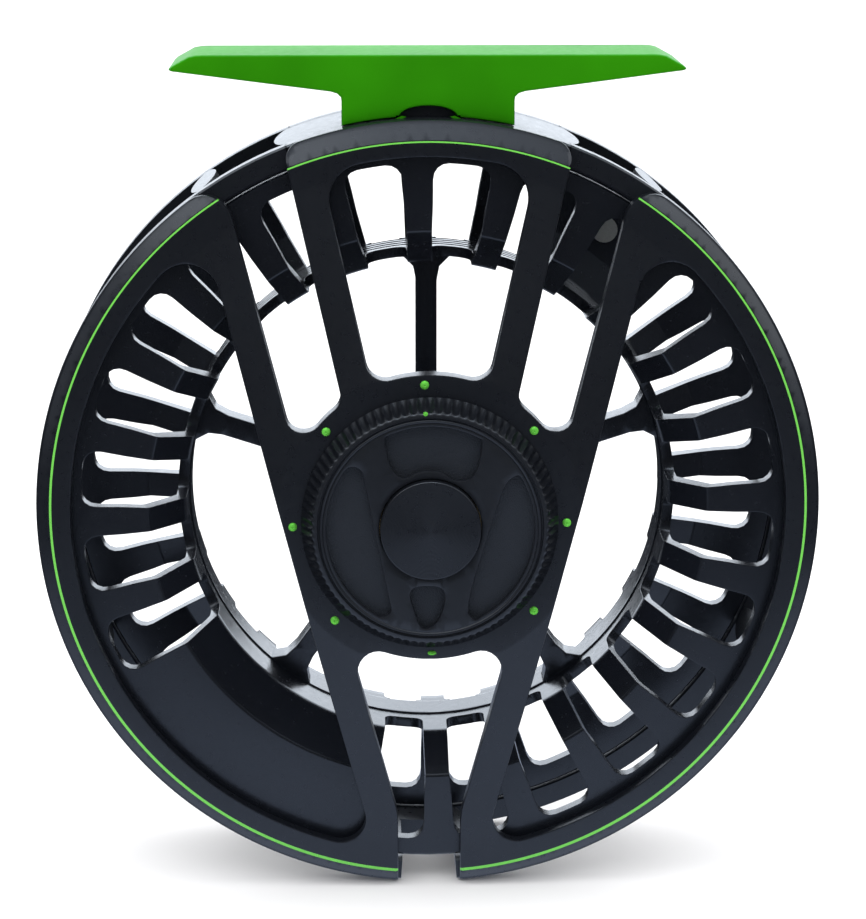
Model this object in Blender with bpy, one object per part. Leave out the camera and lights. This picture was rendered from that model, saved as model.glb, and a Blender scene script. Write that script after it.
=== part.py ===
"""A full-cage, large-arbor fly reel. Metres, +Z up.

The origin is the middle of the foot's top face, which a rod's reel seat holds. The reel hangs below it,
with the drag knob facing -Y and the handle +Y. The lengths below are in millimetres and measured from
the axle, which runs along Y: the empty "reel" moves the whole assembly, in metres, to its origin.
"""

import math

import bmesh
import bpy
from mathutils import Matrix, Vector

MM = 0.001
ROUND = 64          # facets round the big rings
SMALL_ROUND = 20    # facets round small turned pieces
GAP = 0.3           # clearance between pieces that touch

# The cage: a one-piece machined frame.
CAGE_R = 49.5       # outer radius
BORE_R = 46.7       # inside radius of both rings
RIM_R = 47.6        # where the rear plate's flat rim ends and its bevel starts
DISH_R = 44.0       # the rear plate slopes inside this radius
HUB_R = 18.2        # hub disc in the middle of the rear plate
HUB_Y = -4.2        # rear face of the hub; the rim's rear face is at 0
PLATE_RIM_Y = 1.8   # inner face of the rear plate at its rim
PLATE_HUB_Y = -1.2  # inner face of the rear plate at its hub
RING_Y = 2.0        # rear face of the near ring, between the plate's wings and fan
RING_END_Y = 5.0    # where the near ring ends and the cage windows start
FAR_RING_Y = 22.5   # where the cage windows end and the far ring starts
CAGE_END_Y = 25.0
WINDOW_R = 45.0     # outer edge of the openings in the rear plate
TAIL_SLOT_Y = 17.5     # far end of the slot between the wings, through the cage

# The rear plate's arms and fan: each edge is a line x = offset + slope * z, mirrored for the other side.
ARM_OUTER = (18.45, 0.258)
ARM_INNER = (14.35, 0.262)
FAN_OUTER = (7.43, 0.228)
FAN_INNER = (3.40, 0.2254)
TAIL_X = 4.0        # half width of the slot between the two wings at the bottom
PILLARS = ((90, 23), (55, 2.2), (125, 2.2), (205, 3), (335, 3), (270, 6.6))  # middle and half width, degrees
TONGUE = 2.0        # how far, in degrees, a pillar bulges into the windows beside it

# The spool.
FLANGE_R = 46.3
SLOT_R = 44.0       # outer end of the slots in the flanges
KINK_R = 35.4       # inside this the flanges slope into the arbor
ARBOR_R = 32.2
ARBOR_BORE_R = 30.9
NEAR_Y = 2.6        # outer face of the near flange
FAR_Y = 24.6        # outer face of the far flange
NEAR_LIP_Y = 7.6    # end of the arbor's bore on the near side
FAR_LIP_Y = 23.1
NEAR_SLOT_Y = 12.8  # the near slots cut this deep into the arbor
FAR_SLOT_Y = 20.5
WEB_Y = (14.6, 18.6)
SPOKES = 5
SPOKE_WIDTH = 2.7
SLOTS = 24
FIRST_BAR = 1.8     # angle of the first bar between two slots, degrees
BAR_WIDTH = (3.1, 3.7)  # at the arbor and near the rim
BALANCE = (14, 15, 16)  # near-flange slots left solid, opposite the handle
HANDLE_SLOT = 3     # far-flange slot left solid, under the handle
BOSS_R = 10.5
BOSS_Y = (10.6, 21.5)

# Drag, spindle and knob.
SPINDLE_R = 3.0
CAN_R = 16.4
CAN_WALL = 1.3
CAN_Y = (-0.9, 9.6)
HEX_R = 6.3
DISC_R = 14.6
PIN_RING_R = 8.6
PIN_R = 0.8
PIN_ANGLES = (101, 221, 341)
CLICK_AT = (12.5, 32)  # radius and angle of the knob's click ball
KNOB_R = 16.0
KNOB_FACE_R = 14.4
KNOB_Y = (-4.5, -7.6)
KNOB_CAP_R = 6.3
KNOB_CAP_Y = -9.2

# Handle.
HANDLE_R = 40.3
HANDLE_ANGLE = FIRST_BAR + (HANDLE_SLOT + 0.5) * 360 / SLOTS
HANDLE_Y = (26.4, 43.5)

# Foot.
FOOT_TOP_Z = 57.1
FOOT_TIP_Z = 55.2
FOOT_HALF = 31.9
FOOT_Y = (4.0, 19.0)
STEM_HALF = 10.7
STEM_TOP_Z = 52.5
FOOT_SCREW_Y = (7.5, 15.5)

COLOURS = {
    "black": ((0.012, 0.014, 0.018), 0.35, 1.0),
    "green": ((0.06, 0.42, 0.03), 0.30, 1.0),
    "steel": ((0.45, 0.46, 0.48), 0.25, 1.0),
    "brass": ((0.60, 0.43, 0.16), 0.30, 1.0),
    "carbon": ((0.02, 0.02, 0.022), 0.60, 0.0),
    "rubber": ((0.01, 0.01, 0.01), 0.80, 0.0),
}


# --- general helpers -------------------------------------------------------------------------------

def material(name):
    found = bpy.data.materials.get(name)
    if found:
        return found
    colour, roughness, metallic = COLOURS[name]
    made = bpy.data.materials.new(name)
    made.use_nodes = True
    shader = made.node_tree.nodes["Principled BSDF"]
    shader.inputs["Base Color"].default_value = (*colour, 1)
    shader.inputs["Roughness"].default_value = roughness
    shader.inputs["Metallic"].default_value = metallic
    return made


def empty(name, parent=None, at=(0, 0, 0)):
    made = bpy.data.objects.new(name, None)
    bpy.context.scene.collection.objects.link(made)
    made.parent = parent
    made.location = Vector(at) * MM
    return made


def finish(name, bm, finish_name, parent, smooth=35):
    """The mesh as an object. Coordinates are in millimetres, relative to the parent."""
    bmesh.ops.recalc_face_normals(bm, faces=bm.faces)
    bmesh.ops.scale(bm, vec=(MM, MM, MM), verts=bm.verts)
    mesh = bpy.data.meshes.new(name)
    bm.to_mesh(mesh)
    bm.free()
    made = bpy.data.objects.new(name, mesh)
    bpy.context.scene.collection.objects.link(made)
    made.parent = parent
    if finish_name:
        mesh.materials.append(material(finish_name))
        mesh.shade_smooth()
        mesh.set_sharp_from_angle(angle=math.radians(smooth))
    return made


def cutter(name, bm):
    made = finish(name, bm, None, bpy.data.objects["reel"])
    made.hide_render = True
    made.display_type = "WIRE"
    return made


def boolean(target, tool, operation="DIFFERENCE"):
    step = target.modifiers.new(tool.name, "BOOLEAN")
    step.operation = operation
    step.solver = "EXACT"
    step.object = tool


def circle_point(radius, degrees):
    return radius * math.cos(math.radians(degrees)), radius * math.sin(math.radians(degrees))


def add_turned(bm, profile, segments=SMALL_ROUND, x=0.0, z=0.0):
    """Adds a closed (radius, y) profile turned about the line parallel to Y through (x, z)."""
    rings = []
    for radius, y in profile:
        if radius < 1e-6:
            rings.append([bm.verts.new((x, y, z))] * segments)
            continue
        ring = []
        for step in range(segments):
            across, up = circle_point(radius, 360 * (step + 0.5) / segments)
            ring.append(bm.verts.new((x + across, y, z + up)))
        rings.append(ring)
    for first, second in zip(rings, rings[1:] + rings[:1]):
        for step in range(segments):
            after = (step + 1) % segments
            corners = []
            for vert in (first[step], first[after], second[after], second[step]):
                if vert not in corners:
                    corners.append(vert)
            if len(corners) > 2:
                bm.faces.new(corners)


def add_prism(bm, outline, low, high):
    """Adds a solid between the planes y = low and y = high with this (x, z) outline."""
    ends = [[bm.verts.new((x, y, z)) for x, z in outline] for y in (low, high)]
    for end in ends:
        bm.faces.new(end)
    for step in range(len(outline)):
        after = (step + 1) % len(outline)
        bm.faces.new((ends[0][step], ends[0][after], ends[1][after], ends[1][step]))


def turned(name, profile, finish_name, parent, segments=SMALL_ROUND):
    bm = bmesh.new()
    add_turned(bm, profile, segments)
    return finish(name, bm, finish_name, parent)


def tube(inner, outer, low, high, edge=0.0):
    """The profile of a plain ring, with its outer edges broken by edge."""
    if edge == 0:
        return [(inner, low), (outer, low), (outer, high), (inner, high)]
    return [(inner, low), (outer - edge, low), (outer, low + edge),
            (outer, high - edge), (outer - edge, high), (inner, high)]


def rod(outer, low, high, edge=0.0):
    return tube(0.0, outer, low, high, edge)


def torus_profile(major, minor, y, steps=6):
    return [(major + minor * math.cos(2 * math.pi * k / steps), y + minor * math.sin(2 * math.pi * k / steps))
            for k in range(steps)]


def hexagon(radius):
    return [circle_point(radius, 60 * k) for k in range(6)]


# --- outlines in the reel's XZ plane ---------------------------------------------------------------

def arc(centre, radius, start, end, steps):
    """Points on a circle from one angle to another, in degrees."""
    points = []
    for k in range(steps + 1):
        across, up = circle_point(radius, start + (end - start) * k / steps)
        points.append((centre[0] + across, centre[1] + up))
    return points


def angle_of(point, centre=(0.0, 0.0)):
    return math.degrees(math.atan2(point[1] - centre[1], point[0] - centre[0]))


def corner(edge, side, ring, fillet, upper):
    """The rounded corner between an edge line and a circle about the axle.

    side is +1 where the opening lies at larger x than the line. ring is the circle's radius, positive
    where the opening is inside it and negative where it is outside. The result is the corner's centre,
    its touching point on the line and its touching point on the circle.
    """
    offset, slope = edge
    length = math.hypot(1, slope)
    along = (slope / length, 1 / length)
    normal = (side / length, -side * slope / length)
    start = (offset + normal[0] * fillet, normal[1] * fillet)
    reach = ring - fillet if ring > 0 else -ring + fillet
    middle = -(start[0] * along[0] + start[1] * along[1])
    half = math.sqrt(middle * middle - (start[0] ** 2 + start[1] ** 2) + reach * reach)
    t = middle + half if upper else middle - half
    centre = (start[0] + along[0] * t, start[1] + along[1] * t)
    on_line = (centre[0] - normal[0] * fillet, centre[1] - normal[1] * fillet)
    scale = abs(ring) / reach
    return centre, on_line, (centre[0] * scale, centre[1] * scale)


def turn(centre, radius, first, second, steps=4):
    """The short arc about centre from one point to another."""
    start = angle_of(first, centre)
    sweep = (angle_of(second, centre) - start + 180) % 360 - 180
    return arc(centre, radius, start, start + sweep, steps)


def mirrored(outline):
    return [(-x, z) for x, z in reversed(outline)]


def wing_window():
    top, top_line, top_ring = corner(ARM_OUTER, 1, WINDOW_R, 4.2, True)
    low, low_line, low_ring = corner(ARM_OUTER, 1, WINDOW_R, 3.2, False)
    outline = turn(top, 4.2, top_line, top_ring, 5)
    outline += arc((0, 0), WINDOW_R, angle_of(top_ring), angle_of(low_ring), 20)[1:-1]
    outline += turn(low, 3.2, low_ring, low_line, 5)
    return outline


def fan_window():
    """The opening in the fan: right half, then its mirror image."""
    low, low_line, low_hub = corner(FAN_INNER, -1, -HUB_R, 2.4, True)
    top, top_line, top_ring = corner(FAN_INNER, -1, WINDOW_R, 4.5, True)
    half = arc((0, 0), HUB_R, 90, angle_of(low_hub), 3)[1:-1]
    half += turn(low, 2.4, low_hub, low_line)
    half += turn(top, 4.5, top_line, top_ring, 5)
    half += arc((0, 0), WINDOW_R, angle_of(top_ring), 90, 4)[1:-1]
    return half + mirrored(half)


def shoulder_gap():
    """The opening between the fan and the right wing, out through the rim."""
    tip_r = 3.4
    by_fan, fan_line, fan_hub = corner(FAN_OUTER, 1, -HUB_R, 2.2, True)
    by_arm, arm_line, arm_hub = corner(ARM_INNER, -1, -HUB_R, 2.2, True)
    tip, tip_line, tip_ring = corner(ARM_INNER, 1, CAGE_R - 0.2, tip_r, True)
    fan_tip, fan_tip_line, fan_tip_ring = corner(FAN_OUTER, -1, CAGE_R - 0.2, 2.2, True)
    outline = turn(by_fan, 2.2, fan_line, fan_hub)
    outline += arc((0, 0), HUB_R, angle_of(fan_hub), angle_of(arm_hub), 3)[1:-1]
    outline += turn(by_arm, 2.2, arm_hub, arm_line)
    outline += turn(tip, tip_r, tip_line, tip_ring)
    outline += arc((0, 0), CAGE_R + 4, angle_of(tip_ring), angle_of(fan_tip_ring), 6)
    outline += turn(fan_tip, 2.2, fan_tip_ring, fan_tip_line)
    return outline


def tail_gap():
    """The opening below the hub and the slot between the two wings: right half, then its mirror."""
    top, top_line, top_hub = corner(ARM_INNER, -1, -HUB_R, 2.6, False)
    offset, slope = ARM_INNER
    join_z = (TAIL_X - offset) / slope
    half = [(TAIL_X, -CAGE_R - 4), (TAIL_X, join_z - 1.0), (TAIL_X + slope, join_z + 1.0)]
    half += turn(top, 2.6, top_line, top_hub)
    half += arc((0, 0), HUB_R, angle_of(top_hub), -90, 3)[1:-1]
    return half + mirrored(half)


def slot_outline(index):
    """One slot of a flange, between two bars."""
    pitch = 360 / SLOTS
    middle = FIRST_BAR + (index + 0.5) * pitch
    corner_r = 2.1
    half = []
    narrow, wide = BAR_WIDTH
    for radius, width in ((ARBOR_BORE_R - 2, narrow), (KINK_R, narrow), (SLOT_R - 4.2, wide)):
        half.append((radius, -pitch / 2 + math.degrees(width / 2 / radius)))
    edge_angle = -pitch / 2 + math.degrees((BAR_WIDTH[1] / 2 + 0.5) / (SLOT_R - corner_r))
    for k in range(3):
        swing = math.radians(45 * k)
        radius = SLOT_R - corner_r + corner_r * math.sin(swing)
        half.append((radius, edge_angle + math.degrees(corner_r * (1 - math.cos(swing)) / radius)))
    points = [circle_point(radius, middle + angle) for radius, angle in half]
    points.append(circle_point(SLOT_R, middle))
    points += [circle_point(radius, middle - angle) for radius, angle in reversed(half)]
    return points


# --- the frame -------------------------------------------------------------------------------------

def cage_profile():
    """Half section of the cage before its openings: rear plate, near ring, wall and far ring."""
    return [
        (SPINDLE_R + 0.1, HUB_Y),
        (HUB_R + 1, HUB_Y),
        (DISH_R, 0),
        (RIM_R, 0),
        (48.7, 0.35),
        (49.3, 1.0),
        (CAGE_R, RING_Y - 0.2),
        (CAGE_R, CAGE_END_Y - 0.4),
        (CAGE_R - 0.4, CAGE_END_Y),
        (BORE_R + 0.3, CAGE_END_Y),
        (BORE_R, CAGE_END_Y - 0.3),
        (BORE_R, PLATE_RIM_Y),
        (DISH_R, PLATE_RIM_Y),
        (HUB_R + 1, PLATE_HUB_Y),
        (SPINDLE_R + 0.1, PLATE_HUB_Y),
    ]


def add_cage_window(bm, start, end):
    """A window through the cage's wall, from one pillar to the next, with a tongue at each end."""
    rows = 6
    columns = max(2, int((end - start) / 6))
    layers = []
    for radius in (BORE_R - 3, CAGE_R + 3):
        layer = []
        for row in range(rows + 1):
            part = row / rows
            bulge = TONGUE * math.sin(math.pi * part) ** 0.7 if 0 < row < rows else 0.0
            y = RING_END_Y + (FAR_RING_Y - RING_END_Y) * part
            first, last = start + bulge, end - bulge
            line = []
            for column in range(columns + 1):
                across, up = circle_point(radius, first + (last - first) * column / columns)
                line.append(bm.verts.new((across, y, up)))
            layer.append(line)
        layers.append(layer)
        for row in range(rows):
            for column in range(columns):
                bm.faces.new((layer[row][column], layer[row][column + 1],
                              layer[row + 1][column + 1], layer[row + 1][column]))
    rims = []
    for layer in layers:
        rims.append(layer[0] + [line[-1] for line in layer[1:]] + layer[-1][-2::-1]
                    + [line[0] for line in layer[-2:0:-1]])
    for step in range(len(rims[0])):
        after = (step + 1) % len(rims[0])
        bm.faces.new((rims[0][step], rims[0][after], rims[1][after], rims[1][step]))


def make_frame(parent):
    frame = turned("frame", cage_profile(), "black", parent, ROUND)

    bm = bmesh.new()
    for outline in (wing_window(), mirrored(wing_window()), fan_window(), shoulder_gap(),
                    mirrored(shoulder_gap()), tail_gap()):
        add_prism(bm, outline, HUB_Y - 3, RING_Y)
    boolean(frame, cutter("plate_openings", bm))

    bm = bmesh.new()
    order = sorted(PILLARS)
    for (middle, half), (next_middle, next_half) in zip(order, order[1:] + order[:1]):
        end = next_middle - next_half + (360 if next_middle < middle else 0)
        add_cage_window(bm, middle + half - TONGUE, end + TONGUE)
    boolean(frame, cutter("cage_windows", bm))

    bm = bmesh.new()
    half = TAIL_X - 0.5
    slot = [(-half, -CAGE_R - 5), (half, -CAGE_R - 5), (half, -40), (-half, -40)]
    add_prism(bm, slot, HUB_Y - 3, TAIL_SLOT_Y)
    for angle in PIN_ANGLES:
        add_turned(bm, rod(PIN_R + 0.3, HUB_Y - 3, PLATE_HUB_Y + 3), 12, *circle_point(PIN_RING_R, angle))
    add_turned(bm, rod(1.1, HUB_Y - 3, HUB_Y + 2.2), 12, *circle_point(*CLICK_AT))
    boolean(frame, cutter("plate_holes", bm))

    bm = bmesh.new()
    for y in FOOT_SCREW_Y:
        add_upright(bm, screw_profile(GAP), y, BORE_R - 2)
    boolean(frame, cutter("foot_screw_holes", bm))
    return frame


# --- the foot and its screws -----------------------------------------------------------------------

def add_upright(bm, profile, y, start_z=None):
    """Adds a (radius, z) profile turned about the vertical line at this y."""
    points = [(radius, z) for radius, z in profile]
    if start_z is not None:
        points = [(points[0][0], start_z), (points[1][0], start_z)] + points[1:]
    part = bmesh.new()
    add_turned(part, points, 16)
    turn_up = Matrix.Translation((0, y, 0)) @ Matrix.Rotation(math.radians(90), 4, "X")
    bmesh.ops.transform(part, matrix=turn_up, verts=part.verts)
    mesh = bpy.data.meshes.new("upright")
    part.to_mesh(mesh)
    part.free()
    bm.from_mesh(mesh)
    bpy.data.meshes.remove(mesh)


def screw_profile(room=0.0):
    """A countersunk screw, head down, as (radius, z)."""
    return [(0, 46.9), (3.2 + room, 46.9), (3.2 + room, 47.2), (1.7 + room, 48.7 + room),
            (1.7 + room, 53.6 + room), (0, 53.6 + room)]


def foot_outline():
    rest_r = CAGE_R + 0.05
    half = [(0, FOOT_TOP_Z), (FOOT_HALF - 3.6, FOOT_TOP_Z), (FOOT_HALF - 2.2, FOOT_TOP_Z - 0.4),
            (FOOT_HALF, FOOT_TIP_Z + 0.2), (FOOT_HALF - 0.2, FOOT_TIP_Z), (STEM_HALF + 0.8, STEM_TOP_Z),
            (STEM_HALF, STEM_TOP_Z - 0.7)]
    edge = math.degrees(math.acos(STEM_HALF / rest_r))
    half += arc((0, 0), rest_r, edge, 90, 6)
    return half[:-1] + mirrored(half)[:-1]


def make_foot(parent):
    bm = bmesh.new()
    add_prism(bm, foot_outline(), *FOOT_Y)
    foot = finish("reel_foot", bm, "green", parent)
    bm = bmesh.new()
    add_turned(bm, rod(5.4, FOOT_Y[0] - 1, FOOT_Y[0] + 1.2), 24, 0, 45.6)
    boolean(foot, cutter("foot_arch", bm))
    bm = bmesh.new()
    for y in FOOT_SCREW_Y:
        add_upright(bm, screw_profile(GAP), y)
    boolean(foot, cutter("foot_holes", bm))
    for number, y in enumerate(FOOT_SCREW_Y, 1):
        bm = bmesh.new()
        add_upright(bm, screw_profile(), y)
        finish(f"foot_screw_{number}", bm, "steel", parent)


# --- the spool -------------------------------------------------------------------------------------

def spool_profile():
    """Half section of the spool's channel: near flange, arbor and far flange."""
    return [
        (ARBOR_BORE_R, NEAR_LIP_Y),
        (KINK_R, NEAR_Y),
        (FLANGE_R - 0.4, NEAR_Y),
        (FLANGE_R, NEAR_Y + 0.4),
        (FLANGE_R, NEAR_Y + 1.8),
        (KINK_R + 0.8, NEAR_Y + 1.8),
        (ARBOR_R, NEAR_LIP_Y + 1.4),
        (ARBOR_R, FAR_LIP_Y - 2.4),
        (KINK_R + 1.0, FAR_Y - 2.0),
        (FLANGE_R, FAR_Y - 2.0),
        (FLANGE_R, FAR_Y - 0.4),
        (FLANGE_R - 0.4, FAR_Y),
        (KINK_R + 1.0, FAR_Y),
        (ARBOR_BORE_R, FAR_LIP_Y),
        (ARBOR_BORE_R - 0.2, WEB_Y[1] + 1),
        (ARBOR_BORE_R - 0.2, WEB_Y[0]),
        (ARBOR_BORE_R, WEB_Y[0]),
    ]


def spoke_outline(angle):
    """One spoke, from inside the boss to inside the arbor's wall, flared at its outer end."""
    half = [(BOSS_R - 2, SPOKE_WIDTH / 2 + 0.9), (BOSS_R + 0.6, SPOKE_WIDTH / 2 + 0.6),
            (BOSS_R + 2.4, SPOKE_WIDTH / 2), (ARBOR_BORE_R - 3.0, SPOKE_WIDTH / 2), (ARBOR_BORE_R - 1.0, SPOKE_WIDTH / 2 + 0.8),
            (ARBOR_BORE_R - 0.1, SPOKE_WIDTH / 2 + 2.2), (ARBOR_BORE_R + 0.4, SPOKE_WIDTH / 2 + 2.2)]
    cos, sin = circle_point(1, angle)
    outline = []
    for along, across in half + [(a, -c) for a, c in reversed(half)]:
        outline.append((along * cos - across * sin, along * sin + across * cos))
    return outline


def make_spool(parent):
    spool = turned("spool", spool_profile(), "black", parent, ROUND)

    bm = bmesh.new()
    for index in range(SLOTS):
        if index not in BALANCE:
            add_prism(bm, slot_outline(index), NEAR_Y - 2, NEAR_SLOT_Y)
        if index != HANDLE_SLOT:
            add_prism(bm, slot_outline(index), FAR_SLOT_Y, FAR_Y + 2)
    boolean(spool, cutter("spool_slots", bm))

    web = bmesh.new()
    add_turned(web, rod(BOSS_R, *BOSS_Y, 0.5), SMALL_ROUND)
    boss = cutter("spool_boss", web)
    web = bmesh.new()
    for k in range(SPOKES):
        add_prism(web, spoke_outline(90 + 360 / SPOKES * k), *WEB_Y)
    boolean(boss, cutter("spool_spokes", web), "UNION")
    boolean(spool, boss, "UNION")

    bm = bmesh.new()
    add_prism(bm, hexagon(HEX_R + GAP), BOSS_Y[0] - 1, BOSS_Y[1] + 1)
    hole = [(0, FAR_Y - 6), (2.0, FAR_Y - 6), (2.0, FAR_Y - 1.2), (1.6, FAR_Y - 1.2), (1.6, FAR_Y + 3),
            (0, FAR_Y + 3)]
    add_turned(bm, hole, 12, *circle_point(HANDLE_R, HANDLE_ANGLE))
    boolean(spool, cutter("spool_holes", bm))
    bm = bmesh.new()
    add_turned(bm, rod(8.6 + GAP, BOSS_Y[1] - 1.2, BOSS_Y[1] + 1), 24)
    boolean(spool, cutter("spool_cap_recess", bm))
    return spool


# --- the drag: canister, discs, hub, spindle -------------------------------------------------------

def make_spindle(parent):
    profile = [(0, -7.0), (2.3, -7.0), (2.6, -6.7), (2.6, -4.3), (SPINDLE_R, -4.2), (SPINDLE_R, -1.1),
               (5.0, -1.1), (5.0, 0.2), (SPINDLE_R, 0.2), (SPINDLE_R, 18.2), (2.6, 18.2), (2.6, 18.8), (SPINDLE_R, 18.8),
               (SPINDLE_R, 19.3), (2.6, 19.6), (0, 19.6)]
    turned("spindle", profile, "steel", parent)
    turned("spindle_clip", tube(2.7, 4.2, 18.3, 18.7), "steel", parent)


def make_canister(parent):
    inner = CAN_R - CAN_WALL
    low, high = CAN_Y
    profile = [(inner, low), (CAN_R - 0.5, low), (CAN_R, low + 0.5), (CAN_R, high - 1.0), (CAN_R - 1.0, high),
               (7.2, high), (7.2, high - CAN_WALL), (inner, high - CAN_WALL)]
    turned("drag_canister", profile, "black", parent, 36)
    turned("canister_seal", torus_profile(6.55, 0.45, 8.95), "rubber", parent)
    for number, y in enumerate((3.1, 5.0, 6.9), 1):
        turned(f"carbon_disc_{number}", tube(6.9, DISC_R, y, y + 0.8), "carbon", parent)


def make_drive_hub(parent):
    bm = bmesh.new()
    add_prism(bm, hexagon(HEX_R), 2.0, 7.8)
    hub = finish("drive_hub", bm, "steel", parent)
    bm = bmesh.new()
    add_prism(bm, hexagon(HEX_R), 10.0, 20.2)
    boolean(hub, cutter("hub_drive_end", bm), "UNION")
    bm = bmesh.new()
    add_turned(bm, rod(5.3, 7.0, 11.0))
    boolean(hub, cutter("hub_neck", bm), "UNION")
    bm = bmesh.new()
    add_turned(bm, rod(4.6, 0, 22))
    boolean(hub, cutter("hub_bore", bm))
    for number, y in enumerate((4.1, 6.0), 1):
        bm = bmesh.new()
        add_turned(bm, rod(DISC_R - 0.3, y, y + 0.7))
        disc = finish(f"steel_disc_{number}", bm, "steel", parent)
        bm = bmesh.new()
        add_prism(bm, hexagon(HEX_R + GAP), y - 1, y + 2)
        boolean(disc, cutter(f"disc_hex_{number}", bm))
    turned("bearing_rear", tube(3.15, 4.45, 2.3, 4.9), "steel", parent)
    turned("one_way_clutch", tube(3.15, 4.45, 5.3, 13.3), "steel", parent)
    turned("bearing_front", tube(3.15, 4.45, 13.9, 16.5), "steel", parent)


# --- the knob and what it presses ------------------------------------------------------------------

def make_thrust(parent):
    turned("pressure_plate", tube(5.6, DISC_R, 0.7, 1.7, 0.3), "steel", parent)
    for number, (inner_y, outer_y) in enumerate(((1.9, 2.1), (2.7, 2.5)), 1):
        cone = [(8.0, inner_y), (13.0, outer_y), (13.0, outer_y + 0.2), (8.0, inner_y + 0.2)]
        turned(f"spring_washer_{number}", cone, "steel", parent)
    for number, angle in enumerate(PIN_ANGLES, 1):
        bm = bmesh.new()
        add_turned(bm, rod(PIN_R, HUB_Y - 0.2, 0.4), 12, *circle_point(PIN_RING_R, angle))
        finish(f"thrust_pin_{number}", bm, "steel", parent)


def make_knob(parent):
    low, face = KNOB_Y
    inside = low - 1.6
    profile = [(5.2, inside), (13.6, inside), (13.6, low - 0.2), (14.2, low), (KNOB_R - 0.3, low),
               (KNOB_R, low - 0.3), (KNOB_R - 0.9, face + 0.7), (KNOB_FACE_R, face), (13.9, face), (13.7, face + 0.35),
               (6.8, face + 0.35), (6.8, face + 0.9), (5.2, face + 0.9)]
    turned("drag_knob", profile, "black", parent, 48)
    cap = [(0, KNOB_CAP_Y), (1.2, KNOB_CAP_Y + 0.05), (KNOB_CAP_R - 0.3, face + 0.1),
           (KNOB_CAP_R, face + 0.5), (KNOB_CAP_R, face + 0.75), (5.0, face + 0.75), (5.0, face + 0.5), (0, face + 0.3)]
    turned("knob_cap", cap, "black", parent, 32)
    bm = bmesh.new()
    add_turned(bm, rod(4.9, -7.05, HUB_Y - 0.35), 6)
    nut = finish("knob_nut", bm, "brass", parent)
    bm = bmesh.new()
    add_turned(bm, rod(2.9, -10, 0))
    boolean(nut, cutter("nut_bore", bm))
    turned("thrust_washer", tube(6.2, 12.0, -5.9, -4.6), "brass", parent)


def make_click(parent):
    x, z = circle_point(*CLICK_AT)
    ball = [(x, -3.9 - z) for z, x in (circle_point(0.75, angle) for angle in range(0, 181, 30))]
    bm = bmesh.new()
    add_turned(bm, ball, 12, x, z)
    finish("click_ball", bm, "steel", parent)
    bm = bmesh.new()
    add_turned(bm, tube(0.45, 0.75, -3.05, -2.2), 12, x, z)
    finish("click_spring", bm, "steel", parent)


# --- the spool's cap and handle --------------------------------------------------------------------

def make_spool_cap(parent):
    top = BOSS_Y[1]
    profile = [(0, 20.5), (4.2, 20.5), (4.2, top - 0.9), (8.4, top - 0.9), (8.4, top + 2.0), (7.6, top + 2.8),
               (2.5, top + 3.1), (0, top + 3.1)]
    turned("spool_cap", profile, "black", parent, 32)


def make_handle_post(parent):
    """What carries the handle's grip, about the handle's own axis."""
    low, high = HANDLE_Y
    post = [(1.6, FAR_Y + 0.1), (3.4, FAR_Y + 0.1), (3.4, low - 0.5), (2.2, low - 0.3), (2.2, high - 0.8),
            (1.6, high - 0.8)]
    turned("handle_post", post, "steel", parent, 24)
    screw = [(0, FAR_Y - 2.4), (1.7, FAR_Y - 2.4), (1.7, FAR_Y - 1.4), (1.3, FAR_Y - 1.3), (1.3, FAR_Y + 8),
             (0, FAR_Y + 8)]
    turned("handle_screw", screw, "steel", parent, 24)
    end = [(0, high - 6), (1.3, high - 6), (1.3, high - 0.6), (3.4, high - 0.6), (3.4, high + 0.1),
           (2.9, high + 0.5), (0, high + 0.5)]
    turned("handle_end_screw", end, "steel", parent, 24)


def make_grip(parent):
    low, high = HANDLE_Y
    profile = [(2.5, low), (5.4, low), (5.9, low + 0.6), (5.3, low + 4), (5.0, low + 8), (5.4, low + 12),
               (6.2, high - 3), (6.2, high - 1.6), (5.7, high - 1.0), (2.5, high - 1.0)]
    turned("handle_grip", profile, "black", parent, 28)


def main():
    for thing in list(bpy.data.objects):
        bpy.data.objects.remove(thing, do_unlink=True)

    reel = empty("reel", None, (0, -sum(FOOT_Y) / 2, -FOOT_TOP_Z))
    body = empty("body", reel)
    make_frame(body)
    make_foot(body)
    make_spindle(body)
    make_canister(body)
    make_click(body)

    thrust = empty("thrust", body)
    make_thrust(thrust)
    knob = empty("knob", thrust)
    make_knob(knob)

    hub = empty("hub", body)
    make_drive_hub(hub)
    spool = empty("spool_axis", hub)
    make_spool(spool)
    make_spool_cap(empty("cap_axis", spool))
    x, z = circle_point(HANDLE_R, HANDLE_ANGLE)
    handle = empty("handle_axis", spool, (x, 0, z))
    make_handle_post(handle)
    make_grip(handle)


main()
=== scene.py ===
"""The look of the fly reel. Lengths are in millimetres from the axle, and MM turns them into metres."""

import math

import bmesh
import bpy
import numpy as np
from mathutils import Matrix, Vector
from mathutils.geometry import delaunay_2d_cdt


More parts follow.
